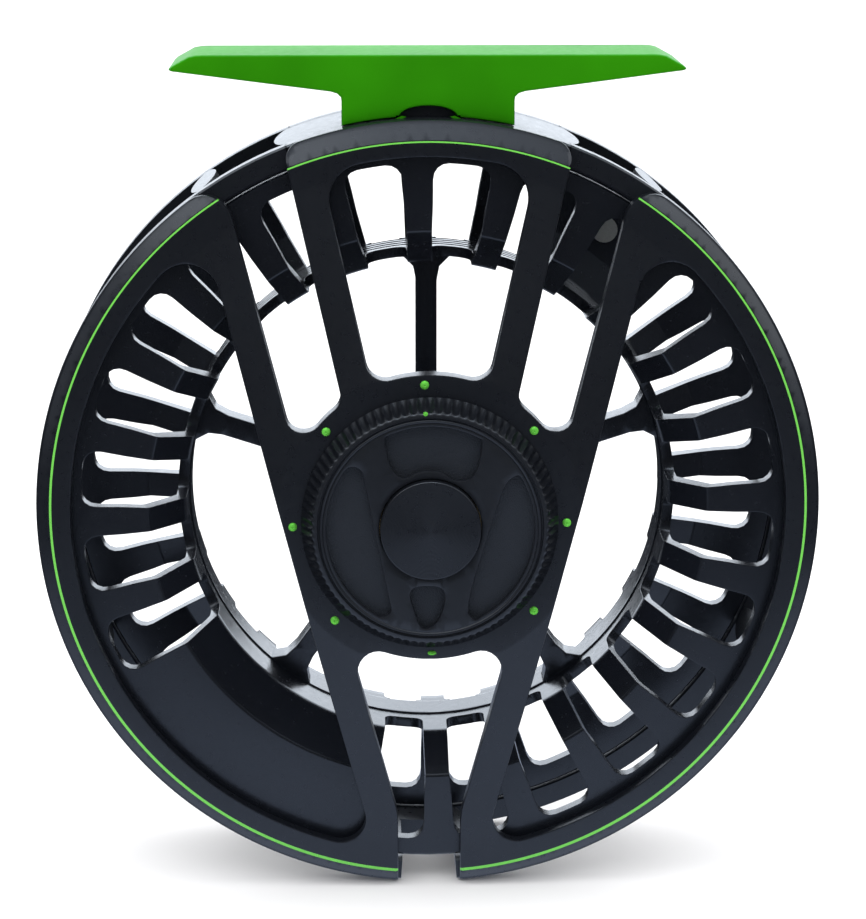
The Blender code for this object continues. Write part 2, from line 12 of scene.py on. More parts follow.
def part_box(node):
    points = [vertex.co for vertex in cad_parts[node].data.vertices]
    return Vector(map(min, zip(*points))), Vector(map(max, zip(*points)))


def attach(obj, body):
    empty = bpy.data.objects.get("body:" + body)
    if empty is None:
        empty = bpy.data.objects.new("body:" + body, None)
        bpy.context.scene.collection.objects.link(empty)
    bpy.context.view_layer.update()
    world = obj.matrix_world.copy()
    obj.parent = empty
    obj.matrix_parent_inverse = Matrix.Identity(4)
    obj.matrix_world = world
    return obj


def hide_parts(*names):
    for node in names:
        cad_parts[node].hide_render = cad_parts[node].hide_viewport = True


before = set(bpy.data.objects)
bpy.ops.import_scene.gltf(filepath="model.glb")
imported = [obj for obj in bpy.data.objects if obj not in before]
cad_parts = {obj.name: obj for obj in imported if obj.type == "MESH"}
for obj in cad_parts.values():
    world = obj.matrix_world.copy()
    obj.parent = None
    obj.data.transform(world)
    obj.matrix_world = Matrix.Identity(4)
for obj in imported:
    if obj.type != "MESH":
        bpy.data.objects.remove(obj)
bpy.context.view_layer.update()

MM = 0.001
HUB_FACE_Y = -4.2
frame_low, frame_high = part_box("frame")
post_low, post_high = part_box("handle_post")
AXLE = Vector((
    (frame_low.x + frame_high.x) / 2,
    frame_low.y - HUB_FACE_Y * MM,
    (frame_low.z + frame_high.z) / 2,
))
HANDLE_AT = ((post_low + post_high) / 2 - AXLE) / MM

# Radii about the axle, and sides as (offset, slope) of a line x = offset + slope * z.
RIM_OUT = 49.43
HUB_R = 18.2
WINDOW_R = 45.0
STRIPE_R = 47.5
FAN_STRIPE_SHIFT = 0.62
ARM_OUTER = (18.45, 0.258)
ARM_INNER = (14.35, 0.262)
FAN_OUTER = (7.43, 0.228)
FAN_INNER = (3.40, 0.2254)
TAIL_X = 4.0
SLOTS = 24
FIRST_BAR = 1.8
GRID = 0.8  # degrees between points on the rim's circles
FAN_SIDE = 2.1  # the fan is where z is over this many times |x|
HUB_LIFT = 0.45
KNOB_FACE_Y = -7.6
POCKET_R = 12.9
STRIPE_GREEN = (0.13, 0.52, 0.055, 1)
BLACK_SHEEN = (0.86, 0.92, 1.0, 1)
GREEN_SHEEN = (0.22, 0.88, 0.08, 1)


# --- materials -------------------------------------------------------------------------------------

class Nodes:
    """A small helper that builds one material's node tree."""

    def __init__(self, name):
        self.material = bpy.data.materials.new(name)
        self.material.use_nodes = True
        self.tree = self.material.node_tree
        self.shader = self.tree.nodes["Principled BSDF"]

    def add(self, kind, **settings):
        node = self.tree.nodes.new(kind)
        for key, value in settings.items():
            setattr(node, key, value)
        return node

    def plug(self, value, socket):
        if hasattr(value, "links"):
            self.tree.links.new(value, socket)
        else:
            socket.default_value = value

    def math(self, operation, a, b=0.0, c=None):
        node = self.add("ShaderNodeMath", operation=operation)
        self.plug(a, node.inputs[0])
        self.plug(b, node.inputs[1])
        if c is not None:
            self.plug(c, node.inputs[2])
        return node.outputs[0]

    def place(self, scale=1.0):
        """Object coordinates, in millimetres times scale."""
        coordinates = self.add("ShaderNodeTexCoord")
        mapping = self.add("ShaderNodeMapping")
        mapping.inputs["Scale"].default_value = (1000 * scale,) * 3
        self.tree.links.new(coordinates.outputs["Object"], mapping.inputs["Vector"])
        return mapping.outputs[0]

    def noise(self, where, scale, detail=3.0, roughness=0.5):
        node = self.add("ShaderNodeTexNoise")
        self.plug(where, node.inputs["Vector"])
        node.inputs["Scale"].default_value = scale
        node.inputs["Detail"].default_value = detail
        node.inputs["Roughness"].default_value = roughness
        return node.outputs["Fac"]

    def span(self, value, low, high):
        """Maps 0.3-0.7 of a noise to a range."""
        node = self.add("ShaderNodeMapRange")
        node.inputs["From Min"].default_value = 0.3
        node.inputs["From Max"].default_value = 0.7
        node.inputs["To Min"].default_value = low
        node.inputs["To Max"].default_value = high
        self.plug(value, node.inputs["Value"])
        return node.outputs[0]

    def mix(self, factor, first, second):
        node = self.add("ShaderNodeMix", data_type="RGBA")
        self.plug(factor, node.inputs["Factor"])
        self.plug(first, node.inputs["A"])
        self.plug(second, node.inputs["B"])
        return node.outputs["Result"]

    def polar(self, where):
        """(radius, y) about the object's own Y axis."""
        split = self.add("ShaderNodeSeparateXYZ")
        self.plug(where, split.inputs[0])
        x2 = self.math("MULTIPLY", split.outputs["X"], split.outputs["X"])
        z2 = self.math("MULTIPLY", split.outputs["Z"], split.outputs["Z"])
        return self.math("SQRT", self.math("ADD", x2, z2)), split.outputs["Y"]

    def bump(self, height, strength, distance=0.00005):
        node = self.add("ShaderNodeBump")
        node.inputs["Strength"].default_value = strength
        node.inputs["Distance"].default_value = distance
        self.plug(height, node.inputs["Height"])
        self.plug(node.outputs[0], self.shader.inputs["Normal"])


def anodised(name, colour, rough, grain, ior=1.7, turned=0.0, stripe=False, dyed=0.0, sheen=BLACK_SHEEN):
    """Dyed, sealed anodising over bead-blasted or turned aluminium, with the rim's stripe if it is wanted."""
    n = Nodes(name)
    where = n.place()
    cloud = n.noise(where, 0.09, 2.0)
    fine = n.noise(where, 6.0, 4.0, 0.6)
    darker = (*[c * 0.9 for c in colour], 1)
    lighter = (*[min(1.0, c * 1.12) for c in colour], 1)
    tone = n.mix(n.span(cloud, 0.0, 1.0), darker, lighter)
    roughness = n.span(n.noise(where, 1.3, 3.0), rough - 0.035, rough + 0.035)
    height = fine
    if turned or stripe:
        radius, y = n.polar(where)
    if turned:
        wobble = n.math("MULTIPLY", cloud, 1.5)
        lines = n.math("SINE", n.math("MULTIPLY_ADD", radius, 38.0, wobble))
        height = n.math("ADD", fine, n.math("MULTIPLY", lines, turned))
    if stripe:
        split = n.add("ShaderNodeSeparateXYZ")
        n.plug(where, split.inputs[0])
        aside = n.math("MULTIPLY", n.math("ABSOLUTE", split.outputs["X"]), FAN_SIDE)
        fan = n.math("GREATER_THAN", split.outputs["Z"], aside)
        unmoved = n.math("MULTIPLY_ADD", fan, FAN_STRIPE_SHIFT, radius)
        half = n.math("MULTIPLY_ADD", split.outputs["Z"], -0.001, 0.145)
        on_ring = n.math("COMPARE", unmoved, STRIPE_R, half)
        rear = n.math("LESS_THAN", y, 0.7)
        mask = n.math("MULTIPLY", on_ring, rear)
        tone = n.mix(mask, tone, STRIPE_GREEN)
    n.plug(tone, n.shader.inputs["Base Color"])
    n.plug(roughness, n.shader.inputs["Roughness"])
    n.shader.inputs["IOR"].default_value = ior
    n.shader.inputs["Metallic"].default_value = dyed
    n.shader.inputs["Specular Tint"].default_value = sheen
    n.bump(height, grain)
    return n.material


def metal(name, colour, rough=0.25, lines=0.6):
    """Turned metal: fine rings about the object's own axis."""
    n = Nodes(name)
    where = n.place()
    radius, y = n.polar(where)
    rings = n.noise(where, 5.0, 3.0)
    tone = n.mix(n.span(rings, 0.0, 1.0), (*[c * 0.8 for c in colour], 1), (*colour, 1))
    grooves = n.math("SINE", n.math("MULTIPLY", n.math("ADD", radius, y), 30.0))
    n.plug(tone, n.shader.inputs["Base Color"])
    n.plug(n.span(rings, rough - 0.06, rough + 0.08), n.shader.inputs["Roughness"])
    n.shader.inputs["Metallic"].default_value = 1.0
    n.bump(n.math("ADD", n.math("MULTIPLY", grooves, lines), rings), 0.15)
    return n.material


def soft(name, colour, rough, weave=0.0):
    """Rubber, or woven carbon where weave is its pitch."""
    n = Nodes(name)
    where = n.place()
    grain = n.noise(where, 4.0, 4.0)
    if weave:
        checker = n.add("ShaderNodeTexChecker")
        n.plug(where, checker.inputs["Vector"])
        checker.inputs["Scale"].default_value = 1 / weave
        height = n.math("ADD", grain, checker.outputs["Fac"])
    else:
        height = grain
    tone = n.mix(n.span(height, 0.0, 1.0), (*[c * 0.7 for c in colour], 1), (*colour, 1))
    n.plug(tone, n.shader.inputs["Base Color"])
    n.shader.inputs["Roughness"].default_value = rough
    n.bump(height, 0.3)
    return n.material


BLACK = (0.0045, 0.0055, 0.0085)
frame_black = anodised("frame_black", BLACK, 0.30, 0.12, stripe=True)
spool_black = anodised("spool_black", BLACK, 0.24, 0.10)
knob_black = anodised("knob_black", (0.006, 0.0072, 0.0105), 0.32, 0.15)
knob_blasted = anodised("knob_blasted", (0.0062, 0.0085, 0.0140), 0.46, 2.6)
# Painted shade: a darker, less reflective copy of the knob's black for the fluted flank, so the flutes stay
# dark.
knob_flank_shade = anodised("knob_flank_shade", (0.004, 0.0048, 0.007), 0.34, 0.1, ior=1.3)
knob_spun = anodised("knob_spun", BLACK, 0.30, 0.2, turned=1.0)
cap_black = anodised("cap_black", BLACK, 0.26, 0.2, turned=0.8)
grip_black = anodised("grip_black", (0.010, 0.011, 0.014), 0.30, 0.2, turned=0.5)
foot_green = anodised("foot_green", (0.024, 0.215, 0.003), 0.36, 0.04, ior=1.08, dyed=0.2, sheen=GREEN_SHEEN)
dot_green = anodised("dot_green", (0.12, 0.50, 0.06), 0.25, 0.1, ior=1.3, dyed=0.3, sheen=GREEN_SHEEN)
steel = metal("steel", (0.60, 0.61, 0.63))
screw_steel = metal("screw_steel", (0.68, 0.67, 0.65), 0.72)
brass = metal("brass", (0.72, 0.53, 0.25))
rubber = soft("rubber", (0.012, 0.012, 0.012), 0.6)
carbon = soft("carbon", (0.03, 0.03, 0.033), 0.45, 1.6)


# --- turning meshes into pieces --------------------------------------------------------------------

def piece(name, bm, look, body, replaces=(), at=(0, 0, 0), round_edge=0.0, sharp=32, slot="anodised_black"):
    """The mesh, in millimetres from `at`, as a finished piece that rides on a body."""
    bmesh.ops.recalc_face_normals(bm, faces=bm.faces)
    bmesh.ops.scale(bm, vec=(MM, MM, MM), verts=bm.verts)
    mesh = bpy.data.meshes.new(name)
    bm.to_mesh(mesh)
    bm.free()
    made = bpy.data.objects.new(name, mesh)
    bpy.context.scene.collection.objects.link(made)
    made.location = AXLE + Vector(at) * MM
    mesh.materials.append(look)
    mesh.shade_smooth()
    if round_edge:
        bevel = made.modifiers.new("edges", "BEVEL")
        bevel.width = round_edge * MM
        bevel.segments = 2
        bevel.limit_method = "ANGLE"
        bevel.angle_limit = math.radians(40)
        bevel.miter_outer = "MITER_ARC"
        bevel.use_clamp_overlap = True
    else:
        mesh.set_sharp_from_angle(angle=math.radians(sharp))
    weighted = made.modifiers.new("normals", "WEIGHTED_NORMAL")
    weighted.keep_sharp = True
    weighted.weight = 60
    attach(made, body)
    if replaces:
        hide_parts(*replaces)
    return made


def circle_point(radius, degrees):
    return radius * math.cos(math.radians(degrees)), radius * math.sin(math.radians(degrees))


def lathe(bm, profile, segments=128, x=0.0, z=0.0):
    """Adds a closed (radius, y) profile turned about the line parallel to Y through (x, z)."""
    rings = []
    for radius, y in profile:
        if radius < 1e-6:
            rings.append([bm.verts.new((x, y, z))] * segments)
            continue
        ring = []
        for step in range(segments):
            across, up = circle_point(radius, 360 * step / segments)
            ring.append(bm.verts.new((x + across, y, z + up)))
        rings.append(ring)
    for first, second in zip(rings, rings[1:] + rings[:1]):
        for step in range(segments):
            after = (step + 1) % segments
            corners = []
            for vert in (first[step], first[after], second[after], second[step]):
                if vert not in corners:
                    corners.append(vert)
            if len(corners) > 2:
                bm.faces.new(corners)


def rounded(profile, radius=0.25, steps=3):
    """A closed profile with each corner replaced by a small curve. A corner on the axis stays."""
    out = []
    count = len(profile)
    for i in range(count):
        here = Vector(profile[i])
        before = Vector(profile[i - 1]) - here
        after = Vector(profile[(i + 1) % count]) - here
        if here.x < 1e-6 or radius <= 0:
            out.append(tuple(here))
            continue
        reach = min(radius, before.length * 0.45, after.length * 0.45)
        start = here + before.normalized() * reach
        end = here + after.normalized() * reach
        for k in range(steps + 1):
            t = k / steps
            out.append(tuple(start * (1 - t) ** 2 + here * (2 * t * (1 - t)) + end * t * t))
    return out


def lathed(name, profile, look, body, edge=0.2, segments=128, **more):
    bm = bmesh.new()
    lathe(bm, rounded(profile, edge), segments)
    return piece(name, bm, look, body, **more)


# --- outlines in the XZ plane ----------------------------------------------------------------------

def arc(centre, radius, start, end, steps):
    points = []
    for k in range(steps + 1):
        across, up = circle_point(radius, start + (end - start) * k / steps)
        points.append((centre[0] + across, centre[1] + up))
    return points


def rim_arc(radius, start, end):
    """An arc about the axle whose inner points are at whole multiples of GRID degrees."""
    sign = 1 if end > start else -1
    first = math.floor(sign * start / GRID + 1e-6) + 1
    last = math.ceil(sign * end / GRID - 1e-6) - 1
    angles = [start] + [sign * k * GRID for k in range(first, last + 1)] + [end]
    return [circle_point(radius, angle) for angle in angles]


def angle_of(point, centre=(0.0, 0.0)):
    return math.degrees(math.atan2(point[1] - centre[1], point[0] - centre[0]))


def corner(edge, side, ring, fillet, upper):
    """The rounded corner between a line x = offset + slope * z and a circle about the axle."""
    offset, slope = edge
    length = math.hypot(1, slope)
    along = (slope / length, 1 / length)
    normal = (side / length, -side * slope / length)
    start = (offset + normal[0] * fillet, normal[1] * fillet)
    reach = ring - fillet if ring > 0 else -ring + fillet
    middle = -(start[0] * along[0] + start[1] * along[1])
    half = math.sqrt(middle * middle - (start[0] ** 2 + start[1] ** 2) + reach * reach)
    t = middle + half if upper else middle - half
    centre = (start[0] + along[0] * t, start[1] + along[1] * t)
    on_line = (centre[0] - normal[0] * fillet, centre[1] - normal[1] * fillet)
    scale = abs(ring) / reach
    return centre, on_line, (centre[0] * scale, centre[1] * scale)


def turn(centre, radius, first, second, steps=8):
    """The shorter arc about centre from the first point's direction to the second's."""
    start = angle_of(first, centre)
    sweep = (angle_of(second, centre) - start + 180) % 360 - 180
    return arc(centre, radius, start, start + sweep, steps)


def mirrored(outline):
    """The outline's mirror image in x, still the same way round."""
    return [(-x, z) for x, z in reversed(outline)]


def dense(outline, step=0.8):
    """The same outline with no side longer than step."""
    out = []
    for i, first in enumerate(outline):
        second = outline[(i + 1) % len(outline)]
        length = math.dist(first, second)
        if length < 0.02:
            continue
        count = max(1, math.ceil(length / step))
        for k in range(count):
            t = k / count
            out.append((first[0] + (second[0] - first[0]) * t, first[1] + (second[1] - first[1]) * t))
    return out


def area_of(outline):
    total = 0.0
    for (x0, z0), (x1, z1) in zip(outline, outline[1:] + outline[:1]):
        total += x0 * z1 - x1 * z0
    return total / 2


def inset(loop, distance):
    """Moves each point to the loop's left by distance."""
    out = []
    count = len(loop)
    for i in range(count):
        before = Vector(loop[i]) - Vector(loop[i - 1])
        after = Vector(loop[(i + 1) % count]) - Vector(loop[i])
        first = Vector((-before.y, before.x)).normalized()
        second = Vector((-after.y, after.x)).normalized()
        normal = (first + second).normalized()
        spread = max(0.5, normal.dot(first))
        move = normal * (distance / spread)
        out.append((loop[i][0] + move.x, loop[i][1] + move.y))
    return out


def inside(points, loops):
    """True for each point that is inside the loops, by the even-odd rule."""
    points = np.asarray(points, float)
    result = np.zeros(len(points), bool)
    for loop in loops:
        a = np.asarray(loop, float)
        b = np.roll(a, -1, axis=0)
        for (x0, z0), (x1, z1) in zip(a, b):
            if z0 == z1:
                continue
            crosses = (z0 > points[:, 1]) != (z1 > points[:, 1])
            at = (x1 - x0) * (points[:, 1] - z0) / (z1 - z0) + x0
            result ^= crosses & (points[:, 0] < at)
    return result


def side_window(edge, ring, top_fillet, low_fillet):
    """The outline between a slanting side and a circle about the axle, with its two corners rounded."""
    top, top_line, top_ring = corner(edge, 1, ring, top_fillet, True)
    low, low_line, low_ring = corner(edge, 1, ring, low_fillet, False)
    outline = turn(top, top_fillet, top_line, top_ring, 12)
    outline += rim_arc(ring, angle_of(top_ring), angle_of(low_ring))[1:-1]
    return outline + turn(low, low_fillet, low_ring, low_line, 12)


BEVEL_MIDDLE = 0.29  # where a quarter circle's middle lies, as a share of its radius


def plate(bm, outer, holes, front, back, edge=0.22, rings=(), spacing=2.0, move=lambda x, z: (x, z)):
    """Adds a plate with windows. front and back give the y of its faces at a point (x, z).

    rings are radii where the front bends, so its facets follow those circles. move shifts the faces' points
    after their y is found.
    """
    loops = []
    for number, loop in enumerate([outer] + list(holes)):
        loop = dense(loop)
        if (area_of(loop) > 0) != (number == 0):
            loop = loop[::-1]
        loops.append(loop)
    faces_loops = [inset(loop, edge) for loop in loops]

    points = []
    sides = []
    for loop in faces_loops:
        first = len(points)
        points += loop
        sides += [(first + k, first + (k + 1) % len(loop)) for k in range(len(loop))]
    border = np.array(points)
    reach = max(math.hypot(*p) for p in outer)
    radii = sorted(set(rings) | {r * spacing for r in range(1, int(reach / spacing) + 1)})
    radii = [r for r in radii if r in rings or all(abs(r - s) > spacing * 0.45 for s in rings)]
    for radius in radii:
        count = round(360 / GRID) if radius > 40 else 180 if radius > 10 else 60
        ring = np.array([circle_point(radius, 360 * k / count) for k in range(count)])
        keep = inside(ring, faces_loops)
        gap = np.sqrt(((ring[:, None, :] - border[None]) ** 2).sum(2)).min(1)
        keep &= gap > (0.15 if radius in rings else 0.6)
        index = {}
        for k in range(count):
            if keep[k]:
                index[k] = len(points)
                points.append(tuple(ring[k]))
        if radius in rings:
            for k in range(count):
                after = (k + 1) % count
                if k in index and after in index:
                    sides.append((index[k], index[after]))
    made = delaunay_2d_cdt([Vector(p) for p in points], sides, [], 0, 1e-6, True)
    flat, triangles = made[0], made[2]
    origin = {}
    for new, old in enumerate(made[3]):
        for one in old:
            origin[one] = new
    middles = [sum((Vector(flat[v]) for v in tri), Vector((0, 0))) / 3 for tri in triangles]
    keep = inside([tuple(m) for m in middles], faces_loops)

    fronts, backs = {}, {}
    for tri, used in zip(triangles, keep):
        if not used:
            continue
        for v in tri:
            if v not in fronts:
                x, z = flat[v]
                low, high = front(x, z), back(x, z)
                x, z = move(x, z)
                fronts[v] = bm.verts.new((x, low, z))
                backs[v] = bm.verts.new((x, high, z))
        bm.faces.new([fronts[v] for v in tri])
        bm.faces.new([backs[v] for v in reversed(tri)])

    first = 0
    for loop, narrow in zip(loops, faces_loops):
        middle = inset(loop, edge * BEVEL_MIDDLE)
        columns = []
        for k, (x, z) in enumerate(loop):
            mx, mz = middle[k]
            ix, iz = narrow[k]
            low, high = front(ix, iz), back(ix, iz)
            depth = min(edge, (high - low) * 0.45)
            column = [fronts[origin[first + k]],
                      bm.verts.new((mx, low + depth * BEVEL_MIDDLE, mz)),
                      bm.verts.new((x, low + depth, z)),
                      bm.verts.new((x, high - depth, z)),
                      bm.verts.new((mx, high - depth * BEVEL_MIDDLE, mz)),
                      backs[origin[first + k]]]
            columns.append(column)
        for k in range(len(columns)):
            here, after = columns[k], columns[(k + 1) % len(columns)]
            for row in range(5):
                bm.faces.new((here[row], after[row], after[row + 1], here[row + 1]))
        first += len(loop)


def cells(bm, solid, front, back):
    """Adds a closed ring of cells. solid[j][i] is the one from row j to j + 1 and column i to i + 1.

    front[j][i] and back[j][i] are the grid's points on the two faces. The last column joins the first.
    """
    rows, columns = len(front), len(front[0])
    made = {}

    def vert(side, j, i):
        key = (side, j, i % columns)
        if key not in made:
            made[key] = bm.verts.new((front if side == 0 else back)[j][i % columns])
        return made[key]

    def is_solid(j, i):
        return 0 <= j < rows - 1 and solid[j][i % columns]

    for j in range(rows - 1):
        for i in range(columns):
            if not is_solid(j, i):
                continue
            square = ((j, i), (j, i + 1), (j + 1, i + 1), (j + 1, i))
            bm.faces.new([vert(0, *p) for p in square])
            bm.faces.new([vert(1, *p) for p in reversed(square)])
            for step, (dj, di) in enumerate(((-1, 0), (0, 1), (1, 0), (0, -1))):
                if not is_solid(j + dj, i + di):
                    a, b = square[step], square[(step + 1) % 4]
                    bm.faces.new((vert(0, *a), vert(1, *a), vert(1, *b), vert(0, *b)))


# --- the frame's rear plate ------------------------------------------------------------------------

def fan_window():
    low, low_line, low_hub = corner(FAN_INNER, -1, -HUB_R, 2.4, True)
    top, top_line, top_ring = corner(FAN_INNER, -1, WINDOW_R, 4.5, True)
    half = arc((0, 0), HUB_R, 90, angle_of(low_hub), 8)[1:-1]
    half += turn(low, 2.4, low_hub, low_line)
    half += turn(top, 4.5, top_line, top_ring, 12)
    half += rim_arc(WINDOW_R, angle_of(top_ring), 90)[1:-1]
    return half + mirrored(half)


def plate_outline():
    """The whole rear plate: fan, wings and hub, right half and its mirror image."""
    fan_tip, fan_tip_line, fan_tip_ring = corner(FAN_OUTER, -1, RIM_OUT, 2.2, True)
    by_fan, fan_line, fan_hub = corner(FAN_OUTER, 1, -HUB_R, 2.2, True)
    by_arm, arm_line, arm_hub = corner(ARM_INNER, -1, -HUB_R, 2.2, True)
    tip, tip_line, tip_ring = corner(ARM_INNER, 1, RIM_OUT, 3.4, True)
    low, low_line, low_hub = corner(ARM_INNER, -1, -HUB_R, 2.6, False)
    offset, slope = ARM_INNER
    join_z = (TAIL_X - offset) / slope
    foot_z = -math.sqrt(RIM_OUT ** 2 - TAIL_X ** 2)
    half = rim_arc(RIM_OUT, 90, angle_of(fan_tip_ring))[1:-1]
    half += turn(fan_tip, 2.2, fan_tip_ring, fan_tip_line)
    half += turn(by_fan, 2.2, fan_line, fan_hub)
    half += arc((0, 0), HUB_R, angle_of(fan_hub), angle_of(arm_hub), 8)[1:-1]
    half += turn(by_arm, 2.2, arm_hub, arm_line)
    half += turn(tip, 3.4, tip_line, tip_ring)
    half += rim_arc(RIM_OUT, angle_of(tip_ring), angle_of((TAIL_X, foot_z)))[1:-1]
    half += [(TAIL_X, foot_z + 0.02), (TAIL_X, join_z - 1.4), (TAIL_X + 0.06, join_z - 0.5)]
    half += [(TAIL_X + 0.12 + slope * 0.3, join_z + 0.7), (TAIL_X + slope * 1.6, join_z + 1.6)]
    half += turn(low, 2.6, low_line, low_hub)
    half += arc((0, 0), HUB_R, angle_of(low_hub), -90, 8)[1:-1]
    return half + mirrored(half)


def along(table, value):
    """Straight-line interpolation in a table of (key, value) pairs."""
    for (k0, v0), (k1, v1) in zip(table, table[1:]):
        if value <= k1:
            return v0 + (v1 - v0) * max(0.0, value - k0) / (k1 - k0)
    return table[-1][1]


# The plate's two faces, as (radius, y).
REAR_FACE = (
    (0, HUB_FACE_Y), (18.9, HUB_FACE_Y), (19.3, -4.12), (43.7, -0.03), (44.2, 0.0),
    (47.62, 0.0), (47.75, 0.04), (49.25, 1.5), (49.45, 1.85), (49.6, 2.3),
)
INNER_FACE = ((0, -1.2), (19.0, -1.2), (43.8, 1.8), (46.6, 1.8), (46.9, 3.2), (60, 3.2))


def fan_shift(x, z):
    """Draws the rim's bevel inwards on the fan, where it is wider than on the wings."""
    radius = math.hypot(x, z)
    if z < FAN_SIDE * abs(x) or not 45.3 < radius < 49.2:
        return x, z
    shift = FAN_STRIPE_SHIFT * min(1, (radius - 45.3) / 1.5, (49.2 - radius) / 1.3)
    return x * (1 - shift / radius), z * (1 - shift / radius)


def hub_lifted(outline):
    """The hub disc sits a little high on the axle."""
    lifted = []
    for x, z in outline:
        share = min(1.0, max(0.0, (24 - math.hypot(x, z)) / 5))
        lifted.append((x, z + HUB_LIFT * share))
    return lifted


def make_plate():
    bm = bmesh.new()
    wing = side_window(ARM_OUTER, WINDOW_R, 4.2, 3.2)
    windows = [hub_lifted(loop) for loop in (wing, mirrored(wing), fan_window())]
    bore = arc((0, 0), 3.1, 0, 360, 32)[:-1]
    plate(bm, hub_lifted(plate_outline()), windows + [bore],
          lambda x, z: along(REAR_FACE, math.hypot(x, z)),
          lambda x, z: along(INNER_FACE, math.hypot(x, z)),
          rings=(18.9, 19.3, 43.7, 44.2, 46.9, 47.62, 47.75, 48.5, 49.0), move=fan_shift)
    return piece("frame_plate", bm, frame_black, "body", ["frame"], sharp=28)


# --- the cage: near ring, pillars and far ring -----------------------------------------------------

# The cage's rows as (y, inner radius, outer radius), and its pillars as (middle, half width) in degrees.
CAGE_ROWS = (
    ((2.0, 46.95, 49.2), (2.25, 46.7, 49.43), (4.8, 46.7, 49.43), (5.0, 46.75, 49.38))
    + tuple((y, 46.8, 49.38) for y in (5.3, 6.2, 7.6, 9.6, 11.7, 13.75, 15.8, 17.5, 19.9, 21.3, 22.2))
    + ((22.5, 46.75, 49.38), (22.7, 46.7, 49.43), (24.7, 46.7, 49.43), (25.0, 46.95, 49.2))
)
WINDOW_ROWS = range(4, 14)
SLOT_ROWS = range(0, 11)
SLOT_HALF = 4.2
BOTTOM = 270
PILLARS = ((55, 2.2), (90, 23), (125, 2.2), (205, 3), (BOTTOM, 6.6), (335, 3))
PILLAR_START, PILLAR_LENGTH = 5, 17.5


def cage_columns():
    """Each column line as (middle, offset, half) of its pillar, with whether the cell after it is a window or
    a part of the slot at the bottom."""
    lines, in_window, in_slot = [], [], []
    for number, (middle, half) in enumerate(PILLARS):
        after_middle, after_half = PILLARS[(number + 1) % len(PILLARS)]
        gap = (after_middle - middle) % 360 - half - after_half
        offsets = [-half, -half + 0.5]
        if middle == BOTTOM:
            offsets += [-SLOT_HALF, -2.7, -1.35, 0, 1.35, 2.7, SLOT_HALF]
        else:
            count = max(1, round((2 * half - 1) / 1.5))
            offsets += [-half + 0.5 + (2 * half - 1) * k / count for k in range(1, count)]
        offsets += [half - 0.5, half]
        cells_here = offsets[:-1]
        count = max(2, round(gap / 1.6))
        lines += [(middle, offset, half) for offset in offsets]
        lines += [(middle, half + gap * k / count, half) for k in range(1, count)]
        in_window += [False] * len(cells_here) + [True] * count
        in_slot += [middle == BOTTOM and -SLOT_HALF <= offset < SLOT_HALF for offset in cells_here]
        in_slot += [False] * count
    return lines, in_window, in_slot


def waisted(offset, half, waist):
    """A column's offset once its pillar is drawn in by waist degrees on each side."""
    if offset >= half:
        return offset + waist * max(0.0, 1 - (offset - half) / 6)
    if offset <= -half:
        return offset - waist
    if abs(offset) > half - 0.6:
        return offset + math.copysign(0.9, offset) * waist
    return offset


def make_cage():
    """The near ring, the pillars and the far ring, as a grid round the reel. Cells between pillars are open."""
    lines, in_window, in_slot = cage_columns()
    front, back = [], []
    for y, inner_r, outer_r in CAGE_ROWS:
        share = (y - PILLAR_START) / PILLAR_LENGTH
        waist = 2.0 * (math.sin(math.pi * share) ** 0.6 - 1) if 0 < share < 1 else -2.0
        angles = [middle + waisted(offset, half, waist) for middle, offset, half in lines]
        for points, radius in ((front, outer_r), (back, inner_r)):
            places = [circle_point(radius, angle) for angle in angles]
            points.append([(x, y, z) for x, z in places])
    solid = []
    for j in range(len(CAGE_ROWS) - 1):
        solid.append([not (window and j in WINDOW_ROWS or slot and j in SLOT_ROWS)
                      for window, slot in zip(in_window, in_slot)])
    bm = bmesh.new()
    cells(bm, solid, front, back)
    return piece("frame_cage", bm, frame_black, "body", ["frame"], round_edge=0.32)


# --- the spool -------------------------------------------------------------------------------------

# Stations along the channel, from the near flange's rim to the far one's: the bore-side (radius, y), the
# line-side (radius, y), and whether the slots of the near flange (1), the far flange (2) or neither (0) cut it.
NEAR_FLANGE = (
    ((46.3, 2.85), (46.3, 4.2), 0),
    ((46.05, 2.6), (46.05, 4.4), 0),
    ((44.0, 2.6), (44.0, 4.4), 0),
    ((43.84, 2.6), (43.84, 4.4), 1),
    ((43.4, 2.6), (43.4, 4.4), 1),
    ((42.75, 2.6), (42.75, 4.4), 1),
    ((41.9, 2.6), (41.9, 4.4), 1),
    ((38.8, 2.6), (38.8, 4.4), 1),
    ((35.7, 2.6), (36.5, 4.4), 1),
    ((35.2, 2.75), (36.0, 4.55), 1),
    ((31.3, 7.1), (32.6, 8.5), 1),
    ((30.95, 7.65), (32.25, 9.0), 1),
    ((30.9, 8.2), (32.2, 9.6), 1),
    ((30.9, 11.5), (32.2, 11.5), 1),
    ((30.9, 11.9), (32.2, 11.9), 1),
    ((30.9, 12.35), (32.2, 12.35), 1),
    ((30.9, 12.65), (32.2, 12.65), 1),
    ((30.9, 12.8), (32.2, 12.8), 0),
    ((30.9, 14.55), (32.2, 13.35), 0),
)
